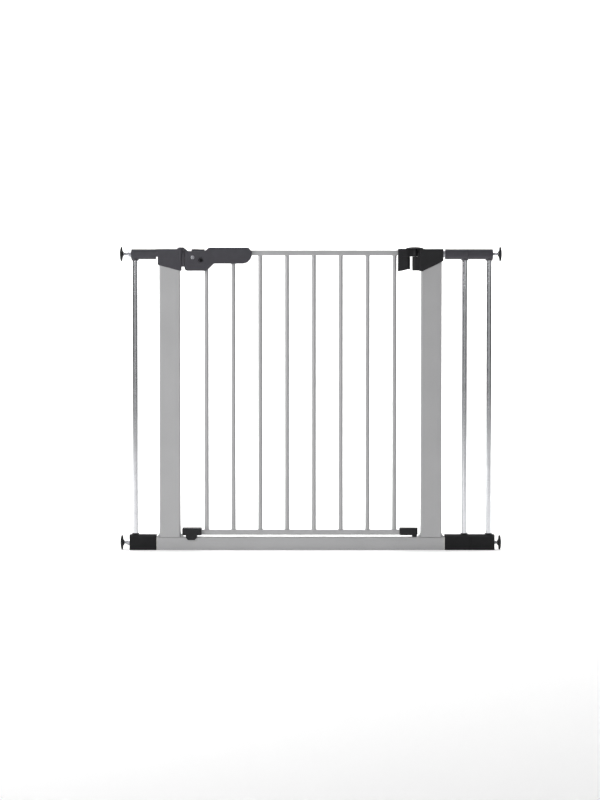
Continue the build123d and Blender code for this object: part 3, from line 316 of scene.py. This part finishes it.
def fillet_tree():
    """Weld fillets at both ends of a row of bars: short flared rings."""
    tree, sizes = new_tree("bar_weld_fillets", {
        "First": Vector, "Pitch": Vector, "Count": int, "Bar Length": float,
        "Bar Radius": float, "Fillet": float, "Height": float, "Squeeze": Vector,
        "Material": bpy.types.Material})
    wide = add(tree, "ShaderNodeMath", {"operation": "ADD"},
               {0: sizes["Bar Radius"], 1: sizes["Fillet"]})
    ring = add(tree, "GeometryNodeMeshCone", {"fill_type": "NONE"},
               {"Vertices": 28, "Side Segments": 1, "Radius Top": sizes["Bar Radius"],
                "Radius Bottom": wide.outputs["Value"], "Depth": sizes["Height"]})
    row = add(tree, "GeometryNodeMeshLine", {"mode": "OFFSET"},
              {"Count": sizes["Count"], "Start Location": sizes["First"],
               "Offset": sizes["Pitch"]})
    lower = add(tree, "GeometryNodeInstanceOnPoints", None,
                {"Points": row.outputs["Mesh"], "Instance": ring.outputs["Mesh"],
                 "Scale": sizes["Squeeze"]})
    rise = add(tree, "ShaderNodeCombineXYZ", None, {"Z": sizes["Bar Length"]})
    lifted = add(tree, "GeometryNodeSetPosition", None,
                 {"Geometry": row.outputs["Mesh"], "Offset": rise.outputs["Vector"]})
    upper = add(tree, "GeometryNodeInstanceOnPoints", None,
                {"Points": lifted.outputs["Geometry"], "Instance": ring.outputs["Mesh"],
                 "Rotation": (math.pi, 0.0, 0.0), "Scale": sizes["Squeeze"]})
    both = add(tree, "GeometryNodeJoinGeometry")
    for half in (lower, upper):
        tree.links.new(half.outputs["Instances"], both.inputs["Geometry"])
    close_tree(tree, both.outputs["Geometry"], sizes["Material"])
    return tree


def bead_tree():
    """A rippled weld bead along every edge of the start mesh."""
    tree, sizes = new_tree("weld_beads", {
        "Radius": float, "Ripple": float, "Material": bpy.types.Material})
    path = add(tree, "GeometryNodeMeshToCurve", None, {"Mesh": sizes["Geometry"]})
    steps = add(tree, "GeometryNodeResampleCurve", {"mode": "LENGTH"},
                {"Curve": path.outputs["Curve"], "Length": sizes["Ripple"]})
    puddle = add(tree, "GeometryNodeMeshUVSphere", None,
                 {"Segments": 10, "Rings": 6, "Radius": sizes["Radius"]})
    beads = add(tree, "GeometryNodeInstanceOnPoints", None,
                {"Points": steps.outputs["Curve"], "Instance": puddle.outputs["Mesh"]})
    close_tree(tree, beads.outputs["Instances"], sizes["Material"])
    return tree


def thread_tree():
    """A threaded rod along X: a cylinder whose radius falls and rises along a helix."""
    tree, sizes = new_tree("threaded_rod", {
        "Start": Vector, "Length": float, "Radius": float, "Pitch": float, "Depth": float,
        "Rows": int, "Material": bpy.types.Material})
    rod = add(tree, "GeometryNodeMeshCylinder", {"fill_type": "NGON"},
              {"Vertices": 24, "Side Segments": sizes["Rows"], "Radius": sizes["Radius"],
               "Depth": sizes["Length"]})
    position = add(tree, "GeometryNodeInputPosition")
    axes = add(tree, "ShaderNodeSeparateXYZ", None, {"Vector": position.outputs["Position"]})
    angle = add(tree, "ShaderNodeMath", {"operation": "ARCTAN2"},
                {0: axes.outputs["Y"], 1: axes.outputs["X"]})
    turn = add(tree, "ShaderNodeMath", {"operation": "DIVIDE"},
               {0: angle.outputs["Value"], 1: 2 * math.pi})
    along = add(tree, "ShaderNodeMath", {"operation": "DIVIDE"},
                {0: axes.outputs["Z"], 1: sizes["Pitch"]})
    phase = add(tree, "ShaderNodeMath", {"operation": "SUBTRACT"},
                {0: along.outputs["Value"], 1: turn.outputs["Value"]})
    flank = add(tree, "ShaderNodeMath", {"operation": "PINGPONG"},
                {0: phase.outputs["Value"], 1: 0.5})
    cut = add(tree, "ShaderNodeMath", {"operation": "MULTIPLY"},
              {0: flank.outputs["Value"], 1: sizes["Depth"]})
    share = add(tree, "ShaderNodeMath", {"operation": "DIVIDE"},
                {0: cut.outputs["Value"], 1: sizes["Radius"]})
    keep = add(tree, "ShaderNodeMath", {"operation": "MULTIPLY_ADD"},
               {0: share.outputs["Value"], 1: -2.0, 2: 1.0})
    scale = add(tree, "ShaderNodeCombineXYZ", None,
                {"X": keep.outputs["Value"], "Y": keep.outputs["Value"], "Z": 1.0})
    threaded = add(tree, "ShaderNodeVectorMath", {"operation": "MULTIPLY"},
                   {0: position.outputs["Position"], 1: scale.outputs["Vector"]})
    cut_rod = add(tree, "GeometryNodeSetPosition", None,
                  {"Geometry": rod.outputs["Mesh"], "Position": threaded.outputs["Vector"]})
    laid = add(tree, "GeometryNodeTransform", None,
               {"Geometry": cut_rod.outputs["Geometry"], "Translation": sizes["Start"],
                "Rotation": (0.0, math.pi / 2, 0.0)})
    close_tree(tree, laid.outputs["Geometry"], sizes["Material"])
    return tree


def rib_tree():
    """A row of rounded ribs for the thumb to grip."""
    tree, sizes = new_tree("button_ribs", {
        "First": Vector, "Pitch": Vector, "Count": int, "Width": float, "Radius": float,
        "Material": bpy.types.Material})
    rib = add(tree, "GeometryNodeMeshCylinder", {"fill_type": "NGON"},
              {"Vertices": 12, "Side Segments": 1, "Radius": sizes["Radius"],
               "Depth": sizes["Width"]})
    row = add(tree, "GeometryNodeMeshLine", {"mode": "OFFSET"},
              {"Count": sizes["Count"], "Start Location": sizes["First"],
               "Offset": sizes["Pitch"]})
    ribs = add(tree, "GeometryNodeInstanceOnPoints", None,
               {"Points": row.outputs["Mesh"], "Instance": rib.outputs["Mesh"],
                "Rotation": (math.pi / 2, 0.0, 0.0)})
    close_tree(tree, ribs.outputs["Instances"], sizes["Material"])
    return tree


# ---- turned pieces ----
def turned(name, profile, origin, side, segments=64):
    """A solid of revolution about X: profile is (distance in from the wall, radius) points."""
    vertices, faces = [], []
    for depth, radius in profile:
        for step in range(segments):
            angle = 2 * math.pi * step / segments
            vertices.append(origin + Vector((-side * depth, radius * math.cos(angle),
                                             radius * math.sin(angle))))
    rows = len(profile)
    for row in range(rows - 1):
        for step in range(segments):
            after = (step + 1) % segments
            quad = [row * segments + step, row * segments + after,
                    (row + 1) * segments + after, (row + 1) * segments + step]
            faces.append(quad if side < 0 else quad[::-1])
    first = list(range(segments))
    last = list(range((rows - 1) * segments, rows * segments))
    faces.append(first[::-1] if side < 0 else first)
    faces.append(last if side < 0 else last[::-1])
    mesh = bpy.data.meshes.new(name)
    mesh.from_pydata(vertices, [], faces)
    for polygon in mesh.polygons:
        polygon.use_smooth = len(polygon.vertices) == 4
    return mesh


# ---- what a user would change ----
class GateLooks(bpy.types.PropertyGroup):
    paint_colour: bpy.props.FloatVectorProperty(
        name="Paint", description="Colour of the powder coat", subtype="COLOR", size=3,
        min=0.0, max=1.0, default=linear("#a9a9aa")[:3])
    handle_colour: bpy.props.FloatVectorProperty(
        name="Handle", description="Colour of the handle and the latch cap", subtype="COLOR",
        size=3, min=0.0, max=1.0, default=linear("#38373d")[:3])
    hinge_colour: bpy.props.FloatVectorProperty(
        name="Hinge", description="Colour of the hinge parts and shoes", subtype="COLOR",
        size=3, min=0.0, max=1.0, default=linear("#1b1b1d")[:3])
    foot_colour: bpy.props.FloatVectorProperty(
        name="Feet", description="Colour of the lower connectors", subtype="COLOR", size=3,
        min=0.0, max=1.0, default=linear("#131315")[:3])
    rubber_colour: bpy.props.FloatVectorProperty(
        name="Pads", description="Colour of the wall pads", subtype="COLOR", size=3,
        min=0.0, max=1.0, default=linear("#1d1d1f")[:3])


class GateDetails(bpy.types.PropertyGroup):
    fillet: bpy.props.FloatProperty(
        name="Bar Weld", description="How far a bar's weld spreads over its rail",
        default=1.7 * MM, unit="LENGTH")
    fillet_height: bpy.props.FloatProperty(
        name="Bar Weld Height", description="How far a bar's weld climbs the bar",
        default=1.8 * MM, unit="LENGTH")
    bead_radius: bpy.props.FloatProperty(
        name="Bead", description="Radius of the weld beads at the posts' feet",
        default=0.9 * MM, unit="LENGTH")
    thread_pitch: bpy.props.FloatProperty(
        name="Thread Pitch", description="From one turn of the M8 thread to the next",
        default=1.25 * MM, unit="LENGTH")
    thread_depth: bpy.props.FloatProperty(
        name="Thread Depth", description="From the thread's crest to its root",
        default=0.77 * MM, unit="LENGTH")
    pad_rings: bpy.props.IntProperty(
        name="Pad Rings", description="Grip rings moulded on each pad's face", default=5)
    rib_count: bpy.props.IntProperty(
        name="Button Ribs", description="Ribs across the thumb button", default=6)


class GateStudio(bpy.types.PropertyGroup):
    distance: bpy.props.FloatProperty(
        name="Camera Distance", description="From the lens to the gate's middle plane",
        default=6.0, unit="LENGTH")
    tilt: bpy.props.FloatProperty(
        name="Camera Tilt", description="How far the camera looks down",
        default=math.radians(2.0), subtype="ANGLE")
    key: bpy.props.FloatProperty(
        name="Key Light", description="Power of the large light on the left, in watts",
        default=70.0)
    fill: bpy.props.FloatProperty(
        name="Fill Light", description="Power of the light on the right, in watts", default=6.0)
    backdrop: bpy.props.FloatProperty(
        name="Backdrop Light", description="Power of the light on the backdrop, in watts",
        default=400.0)
    sky: bpy.props.FloatProperty(
        name="Sky", description="Strength of the light from the front, back and top", default=0.44)
    flags: bpy.props.FloatProperty(
        name="Flags", description="Strength of the light from the left and right", default=0.12)


# ---- operators ----
class GATE_OT_finishes(bpy.types.Operator):
    """Give every steel, chrome and plastic part its finish"""
    bl_idname = "gate.finishes"
    bl_label = "Finishes"

    def execute(self, context):
        looks = context.scene.gate_looks
        paint = silver_powder_coat(looks)
        chrome = chrome_plate()
        zinc = zinc_plate()
        handle = moulded_nylon("charcoal_nylon", looks.handle_colour, 0.3, 0.42, 0.4)
        hinge = moulded_nylon("black_nylon", looks.hinge_colour, 0.25, 0.45, 0.25)
        foot = moulded_nylon("black_nylon_feet", looks.foot_colour, 0.2, 0.5, 0.2)
        finish = {"grey_powder_coat": paint, "chrome_tube": chrome, "zinc_steel": zinc,
                  "charcoal_plastic": handle, "black_plastic": hinge, "pad_rubber": None,
                  "pale_nylon": natural_nylon(),
                  "black_zinc": zinc_plate("black_zinc", "#2b2b2d", "#1f1f21")}
        for row in frame["record"]["subparts"]:
            node = NODES[row["node"]]
            material = finish[row["material_slot"]]
            if row["node"].startswith("lower_connector"):
                material = foot
            if material is None:
                continue
            if not node.material_slots:
                node.data.materials.append(material)
            for place in node.material_slots:
                place.material = material
        return {"FINISHED"}


class GATE_OT_bar_welds(bpy.types.Operator):
    """Add the weld fillets where the door's bars meet its rails"""
    bl_idname = "gate.bar_welds"
    bl_label = "Bar Welds"

    def execute(self, context):
        details = context.scene.gate_details
        weld = painted_weld(context.scene.gate_looks)
        low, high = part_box(BARS[0])
        last = centre(BARS[-1])
        first = Vector((centre(BARS[0]).x, 0.0, low.z))
        pitch = Vector(((last.x - first.x) / (len(BARS) - 1), 0.0, 0.0))
        grow("bar_weld_fillets", fillet_tree(), {
            "First": first, "Pitch": pitch, "Count": len(BARS), "Bar Length": high.z - low.z,
            "Bar Radius": (high.x - low.x) / 2, "Fillet": details.fillet,
            "Height": details.fillet_height, "Squeeze": Vector((1.0, WELD_SQUEEZE, 1.0)),
            "Material": weld}, "door")
        return {"FINISHED"}


class GATE_OT_foot_welds(bpy.types.Operator):
    """Add the weld beads round the feet of the two posts"""
    bl_idname = "gate.foot_welds"
    bl_label = "Foot Welds"

    def execute(self, context):
        details = context.scene.gate_details
        gusset_low, gusset_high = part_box("foot_gussets")
        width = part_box("post_left")[0].x - gusset_low.x
        points, edges = [], []
        for post in ("post_left", "post_right"):
            low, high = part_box(post)
            for y in (gusset_low.y, gusset_high.y):
                for x, way in ((low.x, -1), (high.x, 1)):
                    tip = Vector((x + way * width, y, low.z))
                    foot = Vector((x, y, low.z))
                    top = Vector((x, y, gusset_high.z))
                    for start, end in ((tip, foot), (foot, top)):
                        points += [start, end]
                        edges.append((len(points) - 2, len(points) - 1))
        lines = bpy.data.meshes.new("weld_lines")
        lines.from_pydata(points, edges, [])
        grow("foot_weld_beads", bead_tree(), {
            "Radius": details.bead_radius, "Ripple": details.bead_radius * BEAD_STEP,
            "Material": bpy.data.materials["painted_weld"]}, "frame", lines)
        return {"FINISHED"}


class GATE_OT_spindles(bpy.types.Operator):
    """Cut the thread on the four spindles"""
    bl_idname = "gate.spindles"
    bl_label = "Spindle Threads"

    def execute(self, context):
        details = context.scene.gate_details
        steel = zinc_plate("zinc_thread", "#d2d2d5", "#b4b5ba", 0.2, 0.3)
        tree = thread_tree()
        for name in SPINDLES:
            node = f"spindle_rod_{name}"
            low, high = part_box(node)
            length = high.x - low.x
            piece = grow(f"threaded_spindle_{name}", tree, {
                "Start": centre(node), "Length": length, "Radius": (high.z - low.z) / 2,
                "Pitch": details.thread_pitch, "Depth": details.thread_depth,
                "Rows": round(length / details.thread_pitch * THREAD_ROWS_PER_TURN),
                "Material": steel}, f"spindle_{name}")
            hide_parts(node)
        return {"FINISHED"}


class GATE_OT_pads(bpy.types.Operator):
    """Mould the four wall pads, with grip rings on their faces and a hub behind"""
    bl_idname = "gate.pads"
    bl_label = "Wall Pads"

    def execute(self, context):
        rubber = pad_rubber(context.scene.gate_looks)
        rings = context.scene.gate_details.pad_rings
        for name in SPINDLES:
            node = f"wall_pad_{name}"
            low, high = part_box(node)
            side = 1 if name.endswith("right") else -1
            radius = (high.z - low.z) / 2
            face = Vector((high.x if side > 0 else low.x, 0.0, centre(node).z))
            mesh = turned(f"grip_pad_{name}", pad_profile(radius, high.x - low.x, rings),
                          face, side)
            mesh.materials.append(rubber)
            piece = new_piece(f"grip_pad_{name}", mesh, f"spindle_{name}")
            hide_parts(node)
        return {"FINISHED"}


def pad_profile(radius, length, rings):
    """From the middle of the pad's face out over its rings, round the rim and back to the hub."""
    flat, crown, rim = 5.0 * MM, 2.2 * MM, 3.4 * MM
    groove, lip = 0.6 * MM, 0.5 * MM
    hub = 5.6 * MM
    profile = [(0.0, 0.4 * MM), (0.0, flat)]
    steps = rings * 8
    for step in range(1, steps):
        share = step / steps
        reach = flat + share * (radius - lip - flat)
        sink = crown * ((reach - flat) / (radius - flat)) ** 2
        wave = 0.5 - 0.5 * math.cos(2 * math.pi * rings * share)
        profile.append((sink + groove * wave, reach))
    profile += [(crown * 0.92, radius - lip), (crown, radius - 0.15 * MM),
                (crown + 0.4 * MM, radius), (crown + rim - 0.9 * MM, radius),
                (crown + rim - 0.3 * MM, radius - 0.3 * MM), (crown + rim, radius - 1.0 * MM),
                (crown + rim + 0.6 * MM, 12.0 * MM), (crown + rim + 0.9 * MM, 8.9 * MM),
                (crown + rim + 1.4 * MM, 7.5 * MM), (length - 0.8 * MM, hub + 0.5 * MM),
                (length - 0.2 * MM, hub + 0.2 * MM), (length, hub - 0.3 * MM),
                (length, 4.4 * MM)]
    return profile


class GATE_OT_button_ribs(bpy.types.Operator):
    """Add the grip ribs on top of the thumb button"""
    bl_idname = "gate.button_ribs"
    bl_label = "Button Ribs"

    def execute(self, context):
        count = context.scene.gate_details.rib_count
        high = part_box("catch_slider")[1]
        first = Vector((high.x - RIBS_FROM_END, 0.0, high.z))
        grow("button_grip_ribs", rib_tree(), {
            "First": first, "Pitch": Vector((RIB_PITCH, 0.0, 0.0)), "Count": count,
            "Width": RIB_WIDTH, "Radius": RIB_RADIUS,
            "Material": bpy.data.materials["charcoal_nylon"]}, "catch")
        return {"FINISHED"}


def area_light(name, place, aim, size, power):
    """A soft box that faces a point."""
    light = bpy.data.lights.new(name, "AREA")
    light.shape = "RECTANGLE"
    light.size, light.size_y = size
    light.energy = power
    lamp = bpy.data.objects.new(name, light)
    COLLECTION.objects.link(lamp)
    lamp.location = place
    lamp.rotation_euler = (Vector(aim) - Vector(place)).to_track_quat("-Z", "Y").to_euler()


def studio_air(studio):
    """Soft white light from the front, back and top, and darker flags to the left and right that
    give tubes their dark edges."""
    world = bpy.data.worlds.new("studio_air")
    world.use_nodes = True
    tree = world.node_tree
    tree.nodes.clear()
    place = add(tree, "ShaderNodeTexCoord")
    axes = add(tree, "ShaderNodeSeparateXYZ", None, {"Vector": place.outputs["Generated"]})
    sideways = add(tree, "ShaderNodeMath", {"operation": "ABSOLUTE"}, {0: axes.outputs["X"]})
    flags = add(tree, "ShaderNodeMapRange", {"interpolation_type": "SMOOTHSTEP"},
                {"Value": sideways.outputs["Value"], "From Min": 0.45, "From Max": 0.85,
                 "To Min": studio.sky, "To Max": studio.flags})
    light = add(tree, "ShaderNodeBackground", None,
                {"Color": linear("#ffffff"), "Strength": flags.outputs["Result"]})
    add(tree, "ShaderNodeOutputWorld", None, {"Surface": light.outputs["Background"]})
    return world


class GATE_OT_stage(bpy.types.Operator):
    """Set the floor, the backdrop, the lights and the camera"""
    bl_idname = "gate.stage"
    bl_label = "Studio"

    def execute(self, context):
        studio = context.scene.gate_studio
        white = blank_material("studio_paper")
        surface(white, {"Base Color": linear("#f6f6f6"), "Roughness": 0.9,
                        "Emission Color": linear("#ffffff"), "Emission Strength": 0.2})
        arc = [(PAPER_RUN + PAPER_SWEEP * math.sin(a), PAPER_SWEEP - PAPER_SWEEP * math.cos(a))
               for a in (math.radians(5 * step) for step in range(19))]
        profile = [(-PAPER_REACH, 0.0)] + arc + [(PAPER_RUN + PAPER_SWEEP, PAPER_REACH)]
        vertices = [(x, y, z) for y, z in profile for x in (-PAPER_REACH, PAPER_REACH)]
        faces = [(2 * i, 2 * i + 1, 2 * i + 3, 2 * i + 2) for i in range(len(profile) - 1)]
        mesh = bpy.data.meshes.new("studio_sweep")
        mesh.from_pydata(vertices, [], faces)
        mesh.materials.append(white)
        for polygon in mesh.polygons:
            polygon.use_smooth = True
        sweep_object = bpy.data.objects.new("studio_sweep", mesh)
        COLLECTION.objects.link(sweep_object)

        context.scene.world = studio_air(studio)
        context.scene.view_settings.view_transform = "Standard"

        gate_middle = (0.0, 0.0, 0.4)
        area_light("key_light", (-2.4, -2.6, 1.7), gate_middle, (1.6, 1.6), studio.key)
        area_light("fill_light", (2.6, -2.4, 1.4), gate_middle, (1.4, 1.4), studio.fill)
        area_light("backdrop_light", (0.0, 2.0, 4.5), (0.0, 5.0, 1.2), (6.0, 1.0),
                   studio.backdrop)

        # the camera stands in front of the middle of the bottom rail and looks down a little
        gate_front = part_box("post_left")[0].y
        aim = Vector((centre("bottom_rail").x - AIM_OFFSET, 0.0, AIM_HEIGHT))
        reach = studio.distance
        data = bpy.data.cameras.new("camera")
        data.sensor_width = 36.0
        data.lens = (reach + gate_front) * data.sensor_width / VIEW_HEIGHT
        camera = bpy.data.objects.new("camera", data)
        COLLECTION.objects.link(camera)
        camera.location = aim + Vector((0.0, -reach * math.cos(studio.tilt),
                                        reach * math.sin(studio.tilt)))
        camera.rotation_euler = (math.pi / 2 - studio.tilt, 0.0, 0.0)
        context.scene.camera = camera
        return {"FINISHED"}


class GATE_PT_panel(bpy.types.Panel):
    """The gate's sizes, colours and operators"""
    bl_idname = "GATE_PT_panel"
    bl_label = "Safety Gate"
    bl_space_type = "VIEW_3D"
    bl_region_type = "UI"
    bl_category = "Gate"

    def draw(self, context):
        for group in ("gate_looks", "gate_details", "gate_studio"):
            box = self.layout.box()
            settings = getattr(context.scene, group)
            for name in settings.__annotations__:
                box.prop(settings, name)
        for operator in OPERATORS:
            self.layout.operator(operator.bl_idname)


OPERATORS = (GATE_OT_finishes, GATE_OT_bar_welds, GATE_OT_foot_welds, GATE_OT_spindles,
             GATE_OT_pads, GATE_OT_button_ribs, GATE_OT_stage)
GROUPS = {"gate_looks": GateLooks, "gate_details": GateDetails, "gate_studio": GateStudio}


def register():
    """Add the gate's settings, operators and panel to Blender."""
    for item in (*GROUPS.values(), *OPERATORS, GATE_PT_panel):
        bpy.utils.register_class(item)
    for name, group in GROUPS.items():
        setattr(bpy.types.Scene, name, bpy.props.PointerProperty(type=group))


def unregister():
    """Take them out again."""
    for name in GROUPS:
        delattr(bpy.types.Scene, name)
    for item in reversed((*GROUPS.values(), *OPERATORS, GATE_PT_panel)):
        bpy.utils.unregister_class(item)


def main():
    """Build the whole model."""
    register()
    for operator in OPERATORS:
        family, name = operator.bl_idname.split(".")
        getattr(getattr(bpy.ops, family), name)()


if __name__ == "__main__":
    main()
